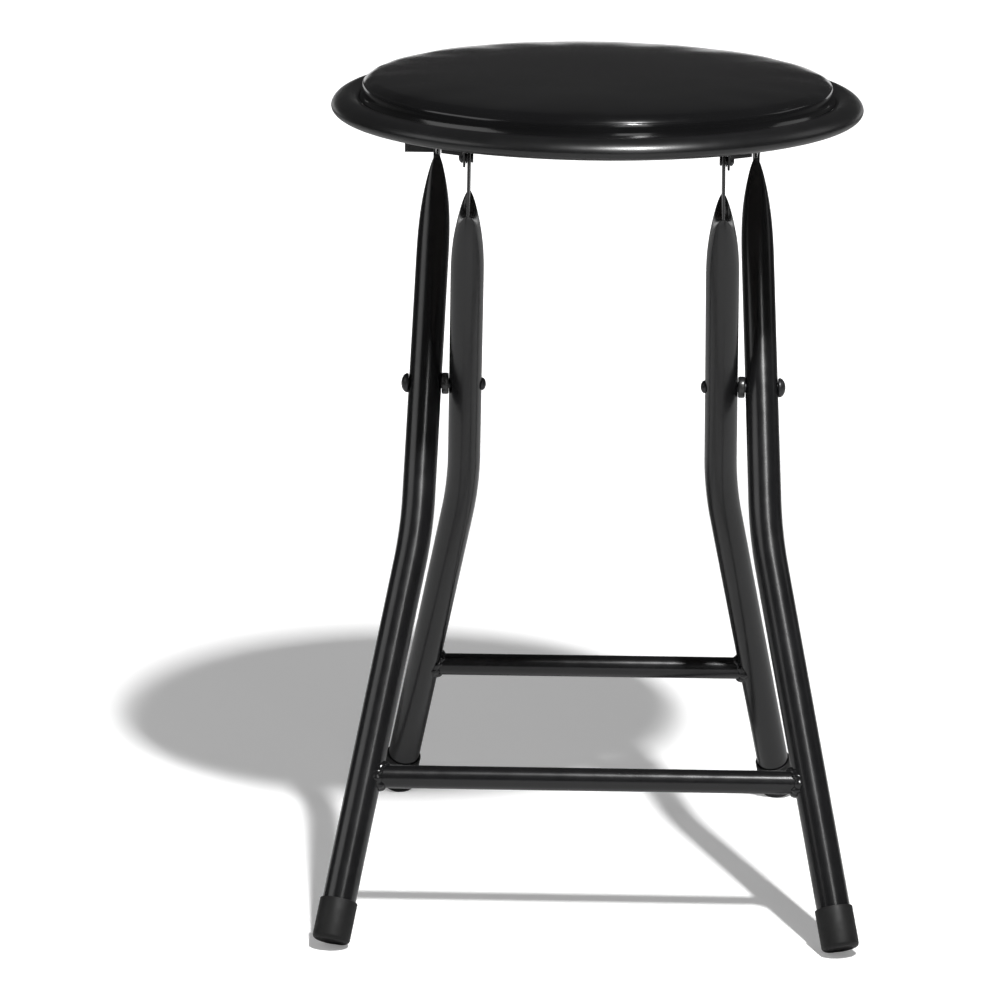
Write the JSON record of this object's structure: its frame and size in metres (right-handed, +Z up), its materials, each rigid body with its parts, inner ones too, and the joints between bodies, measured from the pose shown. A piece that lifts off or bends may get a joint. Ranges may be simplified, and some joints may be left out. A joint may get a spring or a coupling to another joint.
{
  "type": "folding stool",
  "caption": "Low round stool with a padded vinyl seat in a flat oval ring, on two bent tube frames that cross at riveted pivots and fold flat.",
  "frame": {"origin": "on the floor, in the stool's middle plane, under the middle of its length from the front feet to the back of the seat", "axes": "+X to the right seen from the front, +Y to the back, +Z up"},
  "size_m": [0.3106, 0.3308, 0.4798],
  "materials": {
    "frame_coat": "satin black powder coat",
    "rim_coat": "satin black powder coat",
    "bracket_coat": "satin black powder coat",
    "seat_vinyl": "glossy black vinyl",
    "seat_plywood": "plain plywood",
    "foot_rubber": "matte",
    "spacer_nylon": "smooth",
    "rivet_steel": "black, worn to satin",
    "screw_steel": "zinc plated"
  },
  "bodies": {
    "outer_frame": {"outer_crossbar": "frame_coat", "outer_foot_left": "foot_rubber", "outer_foot_right": "foot_rubber", "outer_leg_left": "frame_coat", "outer_leg_right": "frame_coat", "pivot_rivet_left": "rivet_steel", "pivot_rivet_right": "rivet_steel", "pivot_spacer_left": "spacer_nylon", "pivot_spacer_right": "spacer_nylon", "rear_stud_left": "rivet_steel", "rear_stud_right": "rivet_steel"},
    "inner_frame": {"inner_crossbar": "frame_coat", "inner_foot_left": "foot_rubber", "inner_foot_right": "foot_rubber", "inner_leg_left": "frame_coat", "inner_leg_right": "frame_coat"},
    "seat": {"board_screw_1": "screw_steel", "board_screw_2": "screw_steel", "board_screw_3": "screw_steel", "board_screw_4": "screw_steel", "board_screw_5": "screw_steel", "board_screw_6": "screw_steel", "board_screw_7": "screw_steel", "board_screw_8": "screw_steel", "front_bracket_left": "bracket_coat", "front_bracket_right": "bracket_coat", "front_pin_left": "rivet_steel", "front_pin_right": "rivet_steel", "rear_hook_left": "bracket_coat", "rear_hook_right": "bracket_coat", "seat_board": "seat_plywood", "seat_cushion": "seat_vinyl", "seat_rim": "rim_coat"}
  },
  "joints": [
    {"name": "frame_fold", "type": "hinge", "parent": "outer_frame", "child": "inner_frame", "pos_m": [0, 0.01149, 0.2916], "axis": [-1, 0, 0], "range_deg": [0, 49.5]},
    {"name": "seat_lift", "type": "hinge", "parent": "inner_frame", "child": "seat", "pos_m": [0, -0.05327, 0.4385], "axis": [1, 0, 0], "range_deg": [0, 112.5]}
  ],
  "couplings": [
    {"joint": "seat_lift", "follows": "frame_fold", "ratio": 2.27}
  ]
}
